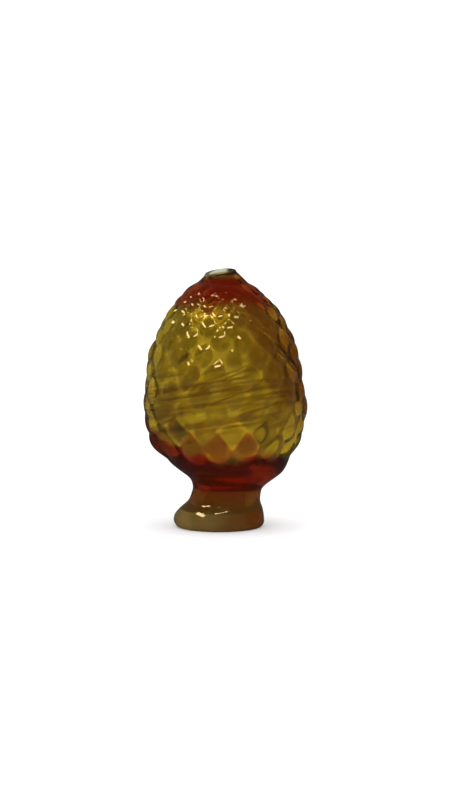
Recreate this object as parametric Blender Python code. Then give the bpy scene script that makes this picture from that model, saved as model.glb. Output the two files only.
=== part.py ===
"""Hand-blown amber and ruby glass globe on a flared foot.

Four gathers of glass make it: the blown globe, the bead wrapped round its
mouth, the thick collar under it, and the flared foot. Each one is a ring or
a shell, so one way through runs from the mouth to the underside of the foot.
Units are metres, +Z is up, and the origin is under the middle of the globe,
on the plane that the foot stands on.
"""
import math

import bmesh
import bpy
from mathutils import Vector

MM = 0.001

# ---- driving dimensions -------------------------------------------------
SEGMENTS = 40                   # flats round every turned ring
CONTACT_GAP = 0.3 * MM          # left between two gathers that are fused

FOOT_TOP = 12.5 * MM            # joint of foot and collar
COLLAR_TOP = 27.6 * MM          # joint of collar and globe
GLOBE_TOP = 177.0 * MM          # joint of globe and mouth bead

FOOT_WIDEST = 5.0 * MM          # height of the foot's widest ring
FOOT_FLAT_OUTER = 28.5 * MM     # outer radius of the flat that it stands on
FOOT_FLAT_INNER = 23.2 * MM     # inner radius of that flat
FOOT_INNER_ROUND = 2.6 * MM     # rounding where the flat meets the bore

BEAD_RADIUS = 9.5 * MM          # from the mouth's axis to the bead's middle
BEAD_HALF_WIDTH = 1.75 * MM
BEAD_HALF_HEIGHT = 1.4 * MM
BEAD_OVERLAP_ANGLE = math.radians(52.0)   # where its seat cuts the section

MOUTH_TIP_FORWARD = math.tan(math.radians(6.0))
MOUTH_TIP_LEFT = math.tan(math.radians(7.0))
MOUTH_TIP_START = 170.0 * MM    # the glass above this height leans over

# (height, radius) of the outside, from the foot's widest ring to the bead
OUTSIDE = [(5.0, 31.8), (8.5, 31.2), (12.5, 29.2), (18.0, 25.4), (23.0, 24.4),
           (27.6, 24.7), (33.0, 28.6), (40.0, 36.8), (47.0, 44.0), (54.0, 49.5),
           (64.0, 53.6), (76.0, 55.8), (88.0, 56.7), (103.0, 55.2), (118.0, 52.7),
           (132.0, 48.6), (145.0, 42.4), (156.0, 35.1), (164.0, 27.9), (170.0, 20.9),
           (173.8, 15.5), (177.0, 11.8)]
# (height, radius) of the way through, from the foot to the mouth
INSIDE = [(0.0, 22.4), (6.0, 20.8), (12.5, 18.0), (18.5, 14.8), (24.0, 14.0),
          (27.6, 14.2), (34.0, 17.6), (41.0, 26.0), (48.0, 35.4), (56.0, 43.6),
          (66.0, 49.4), (77.0, 52.2), (88.0, 53.2), (103.0, 52.0), (118.0, 49.4),
          (132.0, 45.2), (145.0, 39.4), (156.0, 32.4), (164.0, 25.2), (170.5, 17.0),
          (174.4, 11.4), (176.6, 8.6)]
# (height, sideways shift) of the middle: the foot was stuck on off centre
CENTRE_LINE = [(0.0, -3.9), (8.0, -4.1), (18.0, -0.6), (27.0, 1.8), (36.0, 5.3),
               (46.0, 2.7), (56.0, 0.7), (70.0, 0.2), (88.0, 0.0), (130.0, -0.9),
               (156.0, -1.1), (170.0, -1.9), (176.0, -3.1), (182.0, -3.2)]

AMBER = (0.48, 0.33, 0.06, 1.0)
OLIVE = (0.42, 0.32, 0.10, 1.0)
RUBY = (0.34, 0.06, 0.02, 1.0)


def read_curve(points, height):
    """Value at a height in metres, on a smooth curve through points in mm."""
    at = height / MM
    last = len(points) - 2
    span = 0
    while span < last and at > points[span + 1][0]:
        span += 1

    def slope(index):
        before = points[max(index - 1, 0)]
        after = points[min(index + 1, last + 1)]
        return (after[1] - before[1]) / (after[0] - before[0])

    low, high = points[span], points[span + 1]
    length = high[0] - low[0]
    t = (at - low[0]) / length
    value = (low[1] * (2 * t ** 3 - 3 * t ** 2 + 1)
             + high[1] * (3 * t ** 2 - 2 * t ** 3)
             + slope(span) * length * (t ** 3 - 2 * t ** 2 + t)
             + slope(span + 1) * length * (t ** 3 - t ** 2))
    return value * MM


def settle(point):
    """Move a turned point to where the hot glass settled off its axis."""
    lean = (point.z - MOUTH_TIP_START) / (GLOBE_TOP - MOUTH_TIP_START)
    lean = min(max(lean, 0.0), 1.0)
    lean = lean * lean * (3.0 - 2.0 * lean)
    drop = point.y * MOUTH_TIP_FORWARD + point.x * MOUTH_TIP_LEFT
    shift = read_curve(CENTRE_LINE, point.z)
    return Vector((point.x + shift, point.y, point.z + lean * drop))


def heights(low, high, count):
    """Evenly spaced heights from low to high, both ends included."""
    return [low + (high - low) * step / (count - 1) for step in range(count)]


def arc(middle, size, start, end, count):
    """Points (radius, height) along part of an ellipse, end included."""
    points = []
    for step in range(count):
        angle = start + (end - start) * step / (count - 1)
        points.append((middle[0] + size[0] * math.cos(angle),
                       middle[1] + size[1] * math.sin(angle)))
    return points


def glass(name, colour):
    """Clear tinted glass for one gather."""
    material = bpy.data.materials.new(name)
    material.use_nodes = True
    shader = material.node_tree.nodes["Principled BSDF"]
    shader.inputs["Base Color"].default_value = colour
    shader.inputs["Roughness"].default_value = 0.05
    shader.inputs["Metallic"].default_value = 0.0
    shader.inputs["IOR"].default_value = 1.5
    shader.inputs["Transmission Weight"].default_value = 1.0
    return material


def turned(name, section, material):
    """Turn a closed section of (radius, height) points into one gather."""
    bm = bmesh.new()
    ring = [bm.verts.new((radius, 0.0, height)) for radius, height in section]
    edges = [bm.edges.new((ring[index - 1], ring[index])) for index in range(len(ring))]
    bmesh.ops.spin(bm, geom=ring + edges, cent=(0.0, 0.0, 0.0), axis=(0.0, 0.0, 1.0),
                   angle=math.tau, steps=SEGMENTS, use_merge=True)
    bmesh.ops.remove_doubles(bm, verts=bm.verts, dist=0.01 * MM)
    bmesh.ops.recalc_face_normals(bm, faces=bm.faces)
    for vertex in bm.verts:
        vertex.co = settle(vertex.co)
    mesh = bpy.data.meshes.new(name)
    bm.to_mesh(mesh)
    bm.free()
    mesh.shade_smooth()
    mesh.set_sharp_from_angle(angle=math.radians(40.0))
    mesh.materials.append(material)
    piece = bpy.data.objects.new(name, mesh)
    parts.objects.link(piece)
    return piece


def wall(low, high, rings):
    """Closed section between the outside and the way through."""
    outside = [(read_curve(OUTSIDE, z), z) for z in heights(high, low, rings)]
    inside = [(read_curve(INSIDE, z), z) for z in heights(low, high, rings)]
    return outside + inside


def make_globe():
    section = wall(COLLAR_TOP, GLOBE_TOP, 22)
    turned("globe", section, glass("amber_ruby_glass", AMBER))


def make_collar():
    section = wall(FOOT_TOP, COLLAR_TOP - CONTACT_GAP, 7)
    turned("neck_collar", section, glass("brown_amber_glass", RUBY))


def make_foot():
    top = FOOT_TOP - CONTACT_GAP
    outside = [(read_curve(OUTSIDE, z), z) for z in heights(top, FOOT_WIDEST, 4)]
    edge_size = (outside[-1][0] - FOOT_FLAT_OUTER, FOOT_WIDEST)
    edge = arc((FOOT_FLAT_OUTER, FOOT_WIDEST), edge_size, 0.0, -math.pi / 2, 5)
    bore_size = (FOOT_FLAT_INNER - read_curve(INSIDE, FOOT_INNER_ROUND), FOOT_INNER_ROUND)
    bore_edge = arc((FOOT_FLAT_INNER, FOOT_INNER_ROUND), bore_size,
                    -math.pi / 2, -math.pi, 4)
    inside = [(read_curve(INSIDE, z), z) for z in heights(FOOT_INNER_ROUND, top, 4)]
    section = outside + edge[1:] + bore_edge + inside[1:]
    turned("flared_foot", section, glass("olive_amber_glass", OLIVE))


def make_bead():
    seat = GLOBE_TOP + CONTACT_GAP
    middle = (BEAD_RADIUS, seat + BEAD_HALF_HEIGHT * math.sin(BEAD_OVERLAP_ANGLE))
    section = arc(middle, (BEAD_HALF_WIDTH, BEAD_HALF_HEIGHT),
                  math.pi + BEAD_OVERLAP_ANGLE, -BEAD_OVERLAP_ANGLE, 13)
    turned("mouth_bead", section, glass("ruby_glass", RUBY))


for old in list(bpy.data.objects):
    bpy.data.objects.remove(old, do_unlink=True)

parts = bpy.data.collections.new("glass_globe")
bpy.context.scene.collection.children.link(parts)

make_globe()
make_bead()
make_collar()
make_foot()
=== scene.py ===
"""Hand-blown amber and ruby glass globe on a flared foot, in a plain white studio.

The file follows the glass as it was made: the blown globe, the bead round its
mouth, the collar under it and the foot, and then the floor, the light and the
camera.
"""
import math

import bmesh
import bpy
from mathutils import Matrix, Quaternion, Vector


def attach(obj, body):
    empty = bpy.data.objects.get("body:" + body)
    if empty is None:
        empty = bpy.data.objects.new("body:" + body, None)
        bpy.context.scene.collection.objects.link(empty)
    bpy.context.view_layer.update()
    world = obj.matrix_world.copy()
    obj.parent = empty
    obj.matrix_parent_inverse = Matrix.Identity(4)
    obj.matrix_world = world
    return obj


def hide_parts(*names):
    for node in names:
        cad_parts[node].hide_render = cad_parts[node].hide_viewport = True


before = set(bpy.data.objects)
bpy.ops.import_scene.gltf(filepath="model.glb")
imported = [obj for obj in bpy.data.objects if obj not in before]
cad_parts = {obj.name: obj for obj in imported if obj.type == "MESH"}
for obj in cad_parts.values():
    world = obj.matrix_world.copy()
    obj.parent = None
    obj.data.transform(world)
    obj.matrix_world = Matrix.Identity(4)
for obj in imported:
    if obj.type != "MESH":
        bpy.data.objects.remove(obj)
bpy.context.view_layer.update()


# ---- The globe -----------------------------------------------------------
# A gather of amber glass, blown egg-shaped in a mould of staggered scales and
# opened at both ends. Reheating struck the glass near both ends to ruby. It
# was held soft on its side for a moment, so its lower end sags off centre.

# (height, radius) in millimetres, from the foot's widest ring to the mouth
outside_mm = [(5.0, 31.8), (8.5, 31.2), (12.5, 29.2), (18.0, 25.4), (23.0, 24.4),
              (27.6, 24.7), (33.0, 28.6), (40.0, 36.8), (47.0, 44.0), (54.0, 49.5),
              (64.0, 53.6), (76.0, 55.8), (88.0, 56.7), (103.0, 55.2), (118.0, 52.7),
              (132.0, 48.6), (145.0, 42.4), (156.0, 35.1), (164.0, 27.9), (170.0, 20.9),
              (173.8, 15.5), (177.0, 11.8)]
inside_mm = [(0.0, 22.4), (6.0, 20.8), (12.5, 18.0), (18.5, 14.8), (24.0, 14.0),
             (27.6, 14.2), (34.0, 17.6), (41.0, 26.0), (48.0, 35.4), (56.0, 43.6),
             (66.0, 49.4), (77.0, 52.2), (88.0, 53.2), (103.0, 52.0), (118.0, 49.4),
             (132.0, 45.2), (145.0, 39.2), (156.0, 31.8), (164.0, 24.2), (170.0, 16.6),
             (173.8, 10.8), (177.0, 8.4)]
centre_line_mm = [(0.0, -3.9), (8.0, -4.1), (18.0, -0.6), (27.0, 1.8), (36.0, 5.3),
                  (46.0, 2.7), (56.0, 0.7), (70.0, 0.2), (88.0, 0.0), (130.0, -0.9),
                  (156.0, -1.1), (170.0, -1.9), (176.0, -3.1), (182.0, -3.2)]


def read_curve(points_mm, height):
    """Value in metres at a height in metres, on a smooth curve through points."""
    at = height * 1000
    last = len(points_mm) - 2
    span = 0
    while span < last and at > points_mm[span + 1][0]:
        span += 1

    def slope(index):
        before = points_mm[max(index - 1, 0)]
        after = points_mm[min(index + 1, last + 1)]
        return (after[1] - before[1]) / (after[0] - before[0])

    low, high = points_mm[span], points_mm[span + 1]
    length = high[0] - low[0]
    t = (at - low[0]) / length
    value = (low[1] * (2 * t ** 3 - 3 * t ** 2 + 1)
             + high[1] * (3 * t ** 2 - 2 * t ** 3)
             + slope(span) * length * (t ** 3 - 2 * t ** 2 + t)
             + slope(span + 1) * length * (t ** 3 - t ** 2))
    return value / 1000


def ease(low, high, value):
    """0 below low, 1 above high, and a smooth step between."""
    t = min(max((value - low) / (high - low), 0.0), 1.0)
    return t * t * (3.0 - 2.0 * t)


mouth_height = 0.177
mouth_lean_starts = 0.170
lean_forward = math.tan(math.radians(6.0))
lean_left = math.tan(math.radians(7.0))


def settle(point):
    """Shift a turned point to where the soft glass sagged off the blowpipe's axis."""
    lean = ease(mouth_lean_starts, mouth_height, point.z)
    drop = point.y * lean_forward + point.x * lean_left
    shift = read_curve(centre_line_mm, point.z)
    return Vector((point.x + shift, point.y, point.z + lean * drop))


def spread(low, high, count):
    """Evenly spaced values, both ends included."""
    return [low + (high - low) * step / (count - 1) for step in range(count)]


same_place = 0.00001            # points nearer than this are one point


def turn(name, section, flats, joints, shape=None):
    """Spin a closed section of (radius, height), shape it, and let it settle.

    A face that lies at a joint height is marked as melted into the next piece.
    """
    bm = bmesh.new()
    ring = [bm.verts.new((0.0, -radius, height)) for radius, height in section]
    edges = [bm.edges.new((ring[index - 1], ring[index])) for index in range(len(ring))]
    bmesh.ops.spin(bm, geom=ring + edges, cent=(0.0, 0.0, 0.0), axis=(0.0, 0.0, 1.0),
                   angle=math.tau, steps=flats, use_merge=True)
    bmesh.ops.remove_doubles(bm, verts=bm.verts, dist=same_place)
    bmesh.ops.recalc_face_normals(bm, faces=bm.faces)
    melted = bm.faces.layers.float.new("melted")
    bulge = bm.verts.layers.float.new("bulge")
    for face in bm.faces:
        for joint in joints:
            if all(abs(vertex.co.z - joint) < same_place for vertex in face.verts):
                face[melted] = 1.0
    for vertex in bm.verts:
        if shape:
            vertex.co, vertex[bulge] = shape(vertex.co)
        vertex.co = settle(vertex.co)
    for edge in bm.edges:
        if len({face[melted] for face in edge.link_faces}) == 2:
            edge.smooth = False
    mesh = bpy.data.meshes.new(name)
    bm.to_mesh(mesh)
    bm.free()
    mesh.shade_smooth()
    piece = bpy.data.objects.new(name, mesh)
    bpy.context.scene.collection.objects.link(piece)
    return piece


scales_round = 15
scale_row_ratio = 0.235         # row spacing as a share of the local radius
scale_phase = 0.21              # turns the pattern, in scales
scale_slide, scale_lift = 0.26, 0.36    # how far a scale strays, in scales and in rows
scale_swell = 0.22              # how much scales differ in height
dome_slope = 0.76               # of a scale at the corner it shares with its neighbour
relief_inside_share = 0.25
crease_softness = 0.05
plain_level = 0.38              # the smooth glass below and above the scales
mean_level = 0.90               # stands on the outline above
lowest_scales = 0.0605          # the last row's middle
highest_scales = 0.171
thick_side_shift = 0.0005       # the hollow sits this far towards -X, so +X is thick

# The rows follow the outline, so they are counted along it from low to high.
pattern_heights = spread(0.02, 0.18, 400)
pattern_rows = [0.0]
for low, high in zip(pattern_heights, pattern_heights[1:]):
    low_radius, high_radius = read_curve(outside_mm, low), read_curve(outside_mm, high)
    step = math.hypot(high - low, high_radius - low_radius)
    pattern_rows.append(pattern_rows[-1] + 2 * step / (low_radius + high_radius)
                        / scale_row_ratio)


def row_at(height):
    """How many scale rows lie below a height."""
    place = (height - pattern_heights[0]) / (pattern_heights[1] - pattern_heights[0])
    index = min(max(int(place), 0), len(pattern_rows) - 2)
    return pattern_rows[index] + (place - index) * (pattern_rows[index + 1]
                                                    - pattern_rows[index])


first_row = round(row_at(lowest_scales))
row_shift = row_at(lowest_scales) - first_row
last_row = first_row + int(row_at(highest_scales) - row_at(lowest_scales))


row_mix, column_mix, kind_mix, value_mix = 12.9898, 78.233, 37.719, 43758.5453


def chance(row, column, kind):
    """A repeatable number from 0 to 1 for one scale."""
    value = math.sin(row * row_mix + (column % scales_round) * column_mix + kind * kind_mix)
    return (value * value_mix) % 1.0


def scale_height(turn_share, row):
    """Height of the scale pattern: 1 on a scale's middle, about 0.5 in its corners.

    Each scale is a shallow dome. The highest dome wins, with a soft crease between.
    """
    total = math.exp(plain_level / crease_softness)
    base = int(math.floor(row))
    for near_row in (base - 1, base, base + 1, base + 2):
        if near_row < first_row or near_row > last_row:
            continue
        place = turn_share * scales_round - 0.5 * ((near_row - first_row) % 2)
        for column in (math.floor(place), math.floor(place) + 1):
            slide = scale_slide * (chance(near_row, column, 1) - 0.5)
            lift = scale_lift * (chance(near_row, column, 2) - 0.5)
            swell = scale_swell * (chance(near_row, column, 3) - 0.5)
            across = 2.0 * (place - column - slide)
            along = row - near_row - lift
            dome = 1.0 + swell - 0.5 * (across ** 2 + along ** 2)
            total += math.exp(dome / crease_softness)
    return crease_softness * math.log(total)


fold_turn, fold_height = math.radians(26.7), 0.147
fold_sink, fold_width = 0.20, 0.022
fold_left, fold_right = (-0.5, -0.1), (1.5, 1.2)    # turns where it is gone, and full
fold_row = row_at(fold_height) * scale_row_ratio


def fold_depth(turn_angle, row):
    """A long crease that runs down to the right across the front."""
    off_line = turn_angle - fold_turn + row * scale_row_ratio - fold_row
    ends = ease(*fold_left, turn_angle) * ease(*fold_right, turn_angle)
    return fold_sink * ends * math.exp(-(off_line / fold_width) ** 2)


worn_share = 0.35               # how much shallower the scales are round the belly
belly_low, belly_high = (0.060, 0.085), (0.125, 0.100)      # heights: deep, and shallow
scales_low, scales_high = (0.038, 0.057), (0.1765, 0.168)   # heights: plain, and scaled


def scaled(point):
    """Raise the scales on a turned point of the outside, and less so inside."""
    radius = math.hypot(point.x, point.y)
    outer = read_curve(outside_mm, point.z)
    inner = read_curve(inside_mm, point.z)
    turn_angle = math.atan2(point.x, -point.y)
    row = row_at(point.z)
    height = scale_height(turn_angle / math.tau + scale_phase / scales_round, row - row_shift)
    height -= fold_depth(turn_angle, row)
    on_outside = abs(radius - outer) < abs(radius - inner)
    share = 1.0 if on_outside else relief_inside_share
    faded = ease(*scales_low, point.z) * ease(*scales_high, point.z)
    belly = ease(*belly_low, point.z) * ease(*belly_high, point.z)
    shallower = 1.0 - worn_share * belly
    scale_size = math.pi / scales_round * outer
    lift = (height - mean_level) * share * dome_slope * scale_size * shallower * faded
    shift = 0.0 if on_outside else thick_side_shift * faded
    grown = (radius + lift) / radius
    return Vector((point.x * grown - shift, point.y * grown, point.z)), height


globe_low, globe_high = 0.0276, mouth_height
melted_in = 0.0002              # each gather is melted this far into the next
globe_flats, outside_rings, inside_rings = 330, 220, 70
globe_outside = [(read_curve(outside_mm, z), z)
                 for z in spread(globe_high, globe_low, outside_rings)]
globe_inside = [(read_curve(inside_mm, z), z)
                for z in spread(globe_low, globe_high, inside_rings)]
globe = turn("blown_globe", globe_outside + globe_inside, globe_flats,
             (globe_low, globe_high), scaled)
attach(globe, "root")
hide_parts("globe")


def linear(code):
    """Linear colour with alpha from an sRGB hex value."""
    channels = [int(code[place:place + 2], 16) / 255 for place in (1, 3, 5)]
    values = [c / 12.92 if c <= 0.04045 else ((c + 0.055) / 1.055) ** 2.4 for c in channels]
    return (*values, 1.0)


def add(tree, kind, inputs=None, **settings):
    """Add a node with its settings; inputs are plain values or other nodes' outputs."""
    node = tree.nodes.new(kind)
    for name, value in settings.items():
        setattr(node, name, value)
    for name, value in (inputs or {}).items():
        if isinstance(value, bpy.types.NodeSocket):
            tree.links.new(value, node.inputs[name])
        else:
            node.inputs[name].default_value = value
    return node


skin_roughness = 0.02


def glass(name, clearness, absorbed, density):
    """Soda glass: a fire-bright skin, and a body that takes colour out with depth.

    Clearness is the share of the light that the body lets straight through. Where
    two pieces are melted into one, light goes on unbent.
    """
    material = bpy.data.materials.new(name)
    material.use_nodes = True
    tree = material.node_tree
    shader = tree.nodes["Principled BSDF"]
    shader.inputs["Roughness"].default_value = skin_roughness
    shader.inputs["Transmission Weight"].default_value = clearness
    melted = add(tree, "ShaderNodeAttribute", attribute_name="melted")
    index = add(tree, "ShaderNodeMapRange", {"Value": melted.outputs["Fac"], "To Min": 1.5,
                                             "To Max": 1.0})
    tree.links.new(index.outputs["Result"], shader.inputs["IOR"])
    body = add(tree, "ShaderNodeVolumeAbsorption", {"Color": absorbed, "Density": density})
    tree.links.new(body.outputs["Volume"], tree.nodes["Material Output"].inputs["Volume"])
    return material, tree, shader


# Mould-blown glass has a fire-bright skin with soft creases, which breaks what is
# behind it into patches. A slight haze in the body keeps its depths from black.
material, tree, shader = glass("mould_blown_amber_ruby_glass", 0.92, linear("#DED02B"), 160.0)
place = add(tree, "ShaderNodeTexCoord")
axes = add(tree, "ShaderNodeSeparateXYZ", {"Vector": place.outputs["Object"]})
ruby_waves_mm = 26.3            # from one wave of the ruby's edge to the next
ruby_strays = 0.024             # from the edge's lowest place to its highest
# Heights where the ruby starts, and where it is full: on the shoulder, under the
# lip, and at the lower end
upper_ruby, mouth_lip, lower_ruby = (0.153, 0.163), (0.1765, 0.1745), (0.0515, 0.0465)
cloud = add(tree, "ShaderNodeTexNoise", {"Vector": place.outputs["Object"],
                                         "Scale": 1000 / ruby_waves_mm,
                                         "Detail": 3.0, "Roughness": 0.5})
uneven = add(tree, "ShaderNodeMath", {0: cloud.outputs["Fac"], 1: ruby_strays,
                                      2: -ruby_strays / 2}, operation="MULTIPLY_ADD")
height = add(tree, "ShaderNodeMath", {0: axes.outputs["Z"], 1: uneven.outputs["Value"]},
             operation="ADD")
ruby_top = add(tree, "ShaderNodeMapRange", {"Value": height.outputs["Value"],
                                            "From Min": upper_ruby[0],
                                            "From Max": upper_ruby[1]},
               interpolation_type="SMOOTHSTEP")
unstruck = add(tree, "ShaderNodeMapRange", {"Value": axes.outputs["Z"],
                                            "From Min": mouth_lip[0],
                                            "From Max": mouth_lip[1]},
               interpolation_type="SMOOTHSTEP")
top_band = add(tree, "ShaderNodeMath", {0: ruby_top.outputs["Result"],
                                        1: unstruck.outputs["Result"]}, operation="MULTIPLY")

# The lower ruby climbs with the square of the way out to the sides, more steeply
# at the left, and stands a little higher in front.
left_climb, right_climb, front_rise = -9.5, -1.8, 0.06
half_way_over = 0.015           # where one side's climb has turned into the other's
bend = add(tree, "ShaderNodeMapRange", {"Value": axes.outputs["X"],
                                        "From Min": -half_way_over,
                                        "From Max": half_way_over,
                                        "To Min": left_climb, "To Max": right_climb})
across = add(tree, "ShaderNodeMath", {0: axes.outputs["X"], 1: axes.outputs["X"]},
             operation="MULTIPLY")
dropped = add(tree, "ShaderNodeMath", {0: across.outputs["Value"], 1: bend.outputs["Result"],
                                       2: height.outputs["Value"]}, operation="MULTIPLY_ADD")
in_front = add(tree, "ShaderNodeMath", {0: axes.outputs["Y"], 1: 0.0}, operation="MINIMUM")
tipped = add(tree, "ShaderNodeMath", {0: in_front.outputs["Value"], 1: front_rise,
                                      2: dropped.outputs["Value"]}, operation="MULTIPLY_ADD")
ruby_low = add(tree, "ShaderNodeMapRange", {"Value": tipped.outputs["Value"],
                                            "From Min": lower_ruby[0],
                                            "From Max": lower_ruby[1]},
               interpolation_type="SMOOTHSTEP")
ruby_ends = add(tree, "ShaderNodeMath", {0: top_band.outputs["Value"],
                                         1: ruby_low.outputs["Result"]}, operation="MAXIMUM")

# The right-hand side is flushed with ruby too, past a line that leans inwards.
flush_lean, flush_edge, flush_share = 0.25, (0.073, 0.080), 0.65
right_limb = add(tree, "ShaderNodeMath", {0: axes.outputs["Z"], 1: flush_lean,
                                          2: axes.outputs["X"]}, operation="MULTIPLY_ADD")
flushed = add(tree, "ShaderNodeMapRange", {"Value": right_limb.outputs["Value"],
                                           "From Min": flush_edge[0],
                                           "From Max": flush_edge[1], "To Max": flush_share},
              interpolation_type="SMOOTHSTEP")
ruby_share = add(tree, "ShaderNodeMath", {0: ruby_ends.outputs["Value"],
                                          1: flushed.outputs["Result"]}, operation="MAXIMUM")

# Brown cords in the glass were drawn out round the belly as it was blown: broad
# ones that gather in one band, and fine ones at a steeper slant.
cord_length, cord_thickness, cord_slant = 0.12, 0.0046, math.radians(-9.0)
hair_length, hair_thickness, hair_slant = 0.07, 0.0026, math.radians(-22.0)
cord_tip = math.radians(-7.0)   # both lie lower at the back
cords_low, cords_high = (0.056, 0.080), (0.130, 0.105)      # heights: none, and all
swirl = add(tree, "ShaderNodeMapping", {"Vector": place.outputs["Object"],
                                        "Rotation": (cord_tip, cord_slant, 0.0),
                                        "Scale": (cord_length, cord_length, cord_thickness)},
            vector_type="TEXTURE")
threads = add(tree, "ShaderNodeTexNoise", {"Vector": swirl.outputs["Vector"], "Scale": 1.0,
                                           "Detail": 6.0, "Roughness": 0.65, "Distortion": 0.25})
layers = add(tree, "ShaderNodeSeparateXYZ", {"Vector": swirl.outputs["Vector"]})
gather_layer = 20.1             # the band's middle, in cord thicknesses
from_gather = add(tree, "ShaderNodeMath", {0: layers.outputs["Z"], 1: gather_layer},
                  operation="SUBTRACT")
beside_gather = add(tree, "ShaderNodeMath", {0: from_gather.outputs["Value"]},
                    operation="ABSOLUTE")
gather_share = add(tree, "ShaderNodeMapRange", {"Value": beside_gather.outputs["Value"],
                                                "From Min": 2.7, "From Max": 0.3,
                                                "To Max": 0.07},
                   interpolation_type="SMOOTHSTEP")
gathered = add(tree, "ShaderNodeMath", {0: threads.outputs["Fac"],
                                        1: gather_share.outputs["Result"]}, operation="ADD")
thread_share = add(tree, "ShaderNodeMapRange", {"Value": gathered.outputs["Value"],
                                                "From Min": 0.49, "From Max": 0.61,
                                                "To Max": 0.72},
                   interpolation_type="SMOOTHSTEP")
drawn = add(tree, "ShaderNodeMapping", {"Vector": place.outputs["Object"],
                                        "Rotation": (cord_tip, hair_slant, 0.0),
                                        "Scale": (hair_length, hair_length, hair_thickness)},
            vector_type="TEXTURE")
hairs = add(tree, "ShaderNodeTexNoise", {"Vector": drawn.outputs["Vector"], "Scale": 1.0,
                                         "Detail": 3.0, "Roughness": 0.5, "Distortion": 0.3})
hair_share = add(tree, "ShaderNodeMapRange", {"Value": hairs.outputs["Fac"], "From Min": 0.57,
                                              "From Max": 0.63, "To Max": 0.7},
                 interpolation_type="SMOOTHSTEP")
cords = add(tree, "ShaderNodeMath", {0: thread_share.outputs["Result"],
                                     1: hair_share.outputs["Result"]}, operation="MAXIMUM")
band = add(tree, "ShaderNodeMapRange", {"Value": axes.outputs["Z"], "From Min": cords_low[0],
                                        "From Max": cords_low[1]},
           interpolation_type="SMOOTHSTEP")
band_top = add(tree, "ShaderNodeMapRange", {"Value": axes.outputs["Z"],
                                            "From Min": cords_high[0],
                                            "From Max": cords_high[1]},
               interpolation_type="SMOOTHSTEP")
in_band = add(tree, "ShaderNodeMath", {0: band.outputs["Result"], 1: band_top.outputs["Result"]},
              operation="MULTIPLY")
streaked = add(tree, "ShaderNodeMath", {0: in_band.outputs["Value"], 1: cords.outputs["Value"]},
               operation="MULTIPLY")

# A scale's middle is thick and so browner than its thin edge, most of all high up. The step is
# pushed past what thickness gives: painted shade in the middles and painted light on the bright
# yellow edges stand in for the patches that the scales throw by refraction. The glass browns
# towards the upper right.
thin_edge, thick_middle = 0.66, 0.82        # heights in the scale pattern
deep_colour, lower_share = (0.105, 0.135), 0.7
brown_lean, brown_edge = 0.6, (0.080, 0.118)
raised = add(tree, "ShaderNodeAttribute", attribute_name="bulge")
thick = add(tree, "ShaderNodeMapRange", {"Value": raised.outputs["Fac"],
                                         "From Min": thin_edge, "From Max": thick_middle},
            interpolation_type="SMOOTHSTEP")
deeper_above = add(tree, "ShaderNodeMapRange", {"Value": axes.outputs["Z"],
                                                "From Min": deep_colour[0],
                                                "From Max": deep_colour[1],
                                                "To Min": lower_share})
thickness_and_shade_share = add(tree, "ShaderNodeMath", {0: thick.outputs["Result"],
                                           1: deeper_above.outputs["Result"]},
                  operation="MULTIPLY")
# thickness, plus painted shade in the scale middles and painted light on their edges
amber_with_scale_shade = add(tree, "ShaderNodeMix", {"Factor": thickness_and_shade_share.outputs["Value"],
                                          "A": linear("#D6C44A"),
                                          "B": linear("#A89638")}, data_type="RGBA")
rightward = add(tree, "ShaderNodeMath", {0: axes.outputs["Z"], 1: brown_lean,
                                         2: axes.outputs["X"]}, operation="MULTIPLY_ADD")
browner = add(tree, "ShaderNodeMapRange", {"Value": rightward.outputs["Value"],
                                           "From Min": brown_edge[0],
                                           "From Max": brown_edge[1]},
              interpolation_type="SMOOTHSTEP")
browned_upper_right = add(tree, "ShaderNodeMix", {"Factor": browner.outputs["Result"],
                                   "A": amber_with_scale_shade.outputs["Result"],
                                   "B": linear("#9C7430")}, data_type="RGBA")
amber = add(tree, "ShaderNodeMix", {"Factor": streaked.outputs["Value"],
                                    "A": browned_upper_right.outputs["Result"],
                                    "B": linear("#805E34")}, data_type="RGBA")

# The ruby is clear in the middle and painted darker towards either side: painted shade for the
# sides that are seen edge on.
sideways = add(tree, "ShaderNodeMath", {0: axes.outputs["X"]}, operation="ABSOLUTE")
clear_within, dark_beyond = 0.018, 0.046    # from the middle, to either side
low_tint, high_tint = 0.06, 0.15            # heights of the two clear colours
limb = add(tree, "ShaderNodeMapRange", {"Value": sideways.outputs["Value"],
                                        "From Min": clear_within, "From Max": dark_beyond})
upward = add(tree, "ShaderNodeMapRange", {"Value": axes.outputs["Z"],
                                          "From Min": low_tint, "From Max": high_tint})
clear_ruby = add(tree, "ShaderNodeMix", {"Factor": upward.outputs["Result"],
                                         "A": linear("#B43C1A"),
                                         "B": linear("#9C3A1A")}, data_type="RGBA")
# the dark ruby towards the sides is painted shade for the edge-on walls
ruby = add(tree, "ShaderNodeMix", {"Factor": limb.outputs["Result"],
                                   "A": clear_ruby.outputs["Result"],
                                   "B": linear("#642410")}, data_type="RGBA")
struck = add(tree, "ShaderNodeMix", {"Factor": ruby_share.outputs["Value"],
                                     "A": amber.outputs["Result"],
                                     "B": ruby.outputs["Result"]}, data_type="RGBA")
tree.links.new(struck.outputs["Result"], shader.inputs["Base Color"])
globe.data.materials.append(material)


# ---- The mouth bead ------------------------------------------------------
# A thread of the same glass, laid round the mouth to stiffen it and melted
# smooth at the furnace, so its section is a small round.
bead_radius, bead_half_width, bead_half_height = 0.0095, 0.00175, 0.0014
bead_seat_angle = math.radians(52.0)
bead_middle = mouth_height - melted_in + bead_half_height * math.sin(bead_seat_angle)
bead_flats, bead_points = 120, 33
bead_section = [(bead_radius + bead_half_width * math.cos(angle),
                 bead_middle + bead_half_height * math.sin(angle))
                for angle in spread(math.pi + bead_seat_angle, -bead_seat_angle, bead_points)]
bead = turn("wrapped_mouth_bead", bead_section, bead_flats, (mouth_height - melted_in,))
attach(bead, "root")
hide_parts("mouth_bead")
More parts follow.
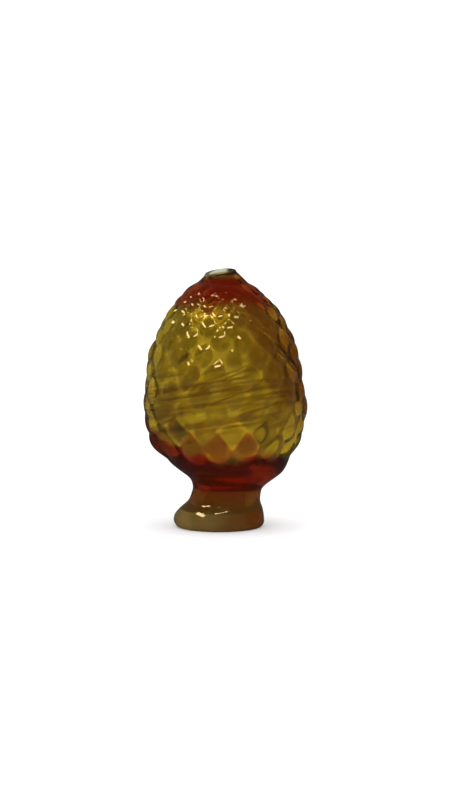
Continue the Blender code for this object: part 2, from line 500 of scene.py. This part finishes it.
# Fire-polished glass shines like water. A dark swirl runs through the right of this thread. The
# colour is painted pale grey green towards the back left, as painted light for the far rim's
# inside lit through the mouth, and dark brown at the front and right, where the swirl runs.
material, tree, shader = glass("fire_polished_olive_glass", 0.85, linear("#E0E0C8"), 60.0)
place = add(tree, "ShaderNodeTexCoord")
axes = add(tree, "ShaderNodeSeparateXYZ", {"Vector": place.outputs["Object"]})
pale_lean, pale_edge = -1.1, (0.002, 0.010)
back_left = add(tree, "ShaderNodeMath", {0: axes.outputs["X"], 1: pale_lean,
                                         2: axes.outputs["Y"]}, operation="MULTIPLY_ADD")
paler = add(tree, "ShaderNodeMapRange", {"Value": back_left.outputs["Value"],
                                         "From Min": pale_edge[0],
                                         "From Max": pale_edge[1]},
            interpolation_type="SMOOTHSTEP")
# pale towards the back left is painted light; the dark brown at the right is the swirl
tint = add(tree, "ShaderNodeMix", {"Factor": paler.outputs["Result"], "A": linear("#56401E"),
                                   "B": linear("#C4C8B4")}, data_type="RGBA")
tree.links.new(tint.outputs["Result"], shader.inputs["Base Color"])
bead.data.materials.append(material)


# ---- The neck collar -----------------------------------------------------
# A thick ring of brown-amber glass, dropped hot onto the globe's lower end to
# carry the foot. It was never blown, so its wall is three times the globe's.
collar_low, collar_high = 0.0125, globe_low + melted_in
collar_flats, outside_rings, inside_rings = 180, 30, 24
collar_outside = [(read_curve(outside_mm, z), z)
                  for z in spread(collar_high, collar_low, outside_rings)]
collar_inside = [(read_curve(inside_mm, z), z)
                 for z in spread(collar_low, collar_high, inside_rings)]
collar = turn("neck_collar_ring", collar_outside + collar_inside, collar_flats,
              (collar_low, collar_high))
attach(collar, "root")
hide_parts("neck_collar")
# Thick tooled glass with fine seed and cord in it: bright outside, cloudy within,
# and redder towards the globe.
material, tree, shader = glass("tooled_brown_amber_glass", 0.6, linear("#F0E0B0"), 40.0)
place = add(tree, "ShaderNodeTexCoord")
axes = add(tree, "ShaderNodeSeparateXYZ", {"Vector": place.outputs["Object"]})
collar_clouds_mm, cloud_height = 18.2, 0.014
red_edge = (0.020, 0.034)       # heights: brown, and red
cloud = add(tree, "ShaderNodeTexNoise", {"Vector": place.outputs["Object"],
                                         "Scale": 1000 / collar_clouds_mm,
                                         "Detail": 3.0, "Roughness": 0.5})
uneven = add(tree, "ShaderNodeMath", {0: cloud.outputs["Fac"], 1: cloud_height,
                                      2: axes.outputs["Z"]}, operation="MULTIPLY_ADD")
reddened = add(tree, "ShaderNodeMapRange", {"Value": uneven.outputs["Value"],
                                            "From Min": red_edge[0], "From Max": red_edge[1]})
tint = add(tree, "ShaderNodeMix", {"Factor": reddened.outputs["Result"], "A": linear("#6E5020"),
                                   "B": linear("#7C380A")}, data_type="RGBA")
tree.links.new(tint.outputs["Result"], shader.inputs["Base Color"])
collar.data.materials.append(material)


# ---- The flared foot -----------------------------------------------------
# A paler gather, stuck on and opened out with the jacks into a hollow flare,
# its edge rolled under and rounded in the fire.
foot_high = collar_low + melted_in
foot_widest, flat_outer, flat_inner, inner_round = 0.0050, 0.0285, 0.0232, 0.0026
foot_flats, wall_rings, edge_rings, bore_edge_rings = 180, 16, 16, 8
foot_outside = [(read_curve(outside_mm, z), z)
                for z in spread(foot_high, foot_widest, wall_rings)]
widest = foot_outside[-1][0]
foot_edge = [(flat_outer + (widest - flat_outer) * math.cos(turn_angle),
              foot_widest - foot_widest * math.sin(turn_angle))
             for turn_angle in spread(0.0, math.pi / 2, edge_rings)]
bore = read_curve(inside_mm, inner_round)
foot_bore_edge = [(flat_inner - (flat_inner - bore) * math.sin(turn_angle),
                   inner_round - inner_round * math.cos(turn_angle))
                  for turn_angle in spread(0.0, math.pi / 2, bore_edge_rings)]
foot_inside = [(read_curve(inside_mm, z), z)
               for z in spread(inner_round, foot_high, wall_rings)]
foot_section = foot_outside + foot_edge[1:] + foot_bore_edge + foot_inside[1:]
foot = turn("rolled_foot", foot_section, foot_flats, (foot_high,))
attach(foot, "root")
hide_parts("flared_foot")
# The same cloudy tooled glass, but a paler gather: olive grey at the left and
# brown towards the right.
material, tree, shader = glass("tooled_olive_glass", 0.5, linear("#F0E8C8"), 40.0)
place = add(tree, "ShaderNodeTexCoord")
axes = add(tree, "ShaderNodeSeparateXYZ", {"Vector": place.outputs["Object"]})
foot_clouds_mm, cloud_width = 16.7, 0.04
red_edge = (-0.006, 0.042)      # from left to right: olive, and brown
cloud = add(tree, "ShaderNodeTexNoise", {"Vector": place.outputs["Object"],
                                         "Scale": 1000 / foot_clouds_mm,
                                         "Detail": 3.0, "Roughness": 0.5})
uneven = add(tree, "ShaderNodeMath", {0: cloud.outputs["Fac"], 1: cloud_width,
                                      2: axes.outputs["X"]}, operation="MULTIPLY_ADD")
reddened = add(tree, "ShaderNodeMapRange", {"Value": uneven.outputs["Value"],
                                            "From Min": red_edge[0], "From Max": red_edge[1]})
tint = add(tree, "ShaderNodeMix", {"Factor": reddened.outputs["Result"], "A": linear("#866F3C"),
                                   "B": linear("#6A3A10")}, data_type="RGBA")
tree.links.new(tint.outputs["Result"], shader.inputs["Base Color"])
foot.data.materials.append(material)


# ---- The floor -----------------------------------------------------------
# A wide sheet of white paper under the foot. Mirrored in the glass it is dark, as
# the room is, so that the glass keeps its dark lower edges.
floor_radius = 12.0
bm = bmesh.new()
bmesh.ops.create_circle(bm, cap_ends=True, segments=64, radius=floor_radius)
mesh = bpy.data.meshes.new("studio_floor")
bm.to_mesh(mesh)
bm.free()
floor = bpy.data.objects.new("studio_floor", mesh)
bpy.context.scene.collection.objects.link(floor)
material = bpy.data.materials.new("white_paper")
material.use_nodes = True
tree = material.node_tree
shader = tree.nodes["Principled BSDF"]
shader.inputs["Roughness"].default_value = 0.9
shader.inputs["Specular IOR Level"].default_value = 0.0
path = add(tree, "ShaderNodeLightPath")
mirrored = add(tree, "ShaderNodeMath", {0: path.outputs["Is Glossy Ray"],
                                        1: path.outputs["Is Transmission Ray"]},
               operation="SUBTRACT", use_clamp=True)
paper = add(tree, "ShaderNodeMix", {"Factor": mirrored.outputs["Value"], "A": linear("#FAFAFA"),
                                    "B": linear("#3C3C3C")}, data_type="RGBA")
tree.links.new(paper.outputs["Result"], shader.inputs["Base Color"])
floor.data.materials.append(material)


# ---- The light -----------------------------------------------------------
# An even white tent all round, which the glass shows through itself. What it
# mirrors is a dim room that lightens behind, and two warm strip lamps high up.
world = bpy.data.worlds.new("soft_white_studio")
bpy.context.scene.world = world
world.use_nodes = True
tree = world.node_tree
background = tree.nodes["Background"]
path = add(tree, "ShaderNodeLightPath")
mirrored = add(tree, "ShaderNodeMath", {0: path.outputs["Is Glossy Ray"],
                                        1: path.outputs["Is Transmission Ray"]},
               operation="SUBTRACT", use_clamp=True)
background.inputs["Strength"].default_value = 1.0
tent_seen, tent_lights = 1.15, 1.45     # how bright it looks, and how bright it lights
back_lean, room_span = -0.35, (0.2, 1.2)    # the room is dark in front and lighter behind
direction = add(tree, "ShaderNodeTexCoord")
sides = add(tree, "ShaderNodeSeparateXYZ", {"Vector": direction.outputs["Generated"]})
behind = add(tree, "ShaderNodeMath", {0: sides.outputs["X"], 1: back_lean,
                                      2: sides.outputs["Y"]}, operation="MULTIPLY_ADD")
room = add(tree, "ShaderNodeMapRange", {"Value": behind.outputs["Value"],
                                        "From Min": room_span[0], "From Max": room_span[1]})
shade = add(tree, "ShaderNodeMix", {"Factor": room.outputs["Result"], "A": linear("#2A2416"),
                                    "B": linear("#6C6656")}, data_type="RGBA")
open_sky = add(tree, "ShaderNodeMix", {"Factor": path.outputs["Is Diffuse Ray"],
                                       "A": (tent_seen, tent_seen, tent_seen, 1.0),
                                       "B": (tent_lights, tent_lights, tent_lights, 1.0)},
               data_type="RGBA")
choose = add(tree, "ShaderNodeMix", {"Factor": mirrored.outputs["Value"],
                                     "A": open_sky.outputs["Result"],
                                     "B": shade.outputs["Result"]}, data_type="RGBA")
tree.links.new(choose.outputs["Result"], background.inputs["Color"])


lamp_length, lamp_width, lamp_watts = 0.50, 0.115, 3.5
lamp_aim = Vector((0.0, 0.0, 0.1))


def strip_lamp(name, azimuth, elevation, roll):
    """A warm strip lamp, a metre from the globe's middle and aimed at it, in degrees."""
    lamp = bpy.data.lights.new(name, "AREA")
    lamp.shape = "RECTANGLE"
    lamp.size = lamp_length
    lamp.size_y = lamp_width
    lamp.energy = lamp_watts
    lamp.color = linear("#FFE1A6")[:3]
    lit = bpy.data.objects.new(name, lamp)
    bpy.context.scene.collection.objects.link(lit)
    around, up = math.radians(azimuth), math.radians(elevation)
    towards = Vector((math.sin(around) * math.cos(up), -math.cos(around) * math.cos(up),
                      math.sin(up)))
    lit.location = lamp_aim + towards
    turned = (-towards).to_track_quat("-Z", "Y") @ Quaternion((0.0, 0.0, 1.0), math.radians(roll))
    lit.rotation_euler = turned.to_euler()
    lit.visible_diffuse = False


strip_lamp("strip_left", -78.0, 49.0, 0.0)
strip_lamp("strip_right", 0.0, 61.0, 8.0)


# ---- The camera ----------------------------------------------------------
# It looks down a little from in front, and stands far enough away for an almost
# flat view.
camera_data = bpy.data.cameras.new("camera")
camera = bpy.data.objects.new("camera", camera_data)
bpy.context.scene.collection.objects.link(camera)
camera_up = math.radians(7.0)
camera_away = 2.5
seen_height = 0.56              # of the whole picture, at the object
aim = Vector((0.0, 0.0, 0.0890))
camera.location = aim + camera_away * Vector((0.0, -math.cos(camera_up), math.sin(camera_up)))
camera.rotation_euler = (math.pi / 2 - camera_up, 0.0, 0.0)
camera_data.sensor_width = 36.0
camera_data.lens = camera_data.sensor_width * camera_away / seen_height
camera_data.clip_end = 50.0
bpy.context.scene.camera = camera
bpy.context.scene.view_settings.view_transform = "Standard"
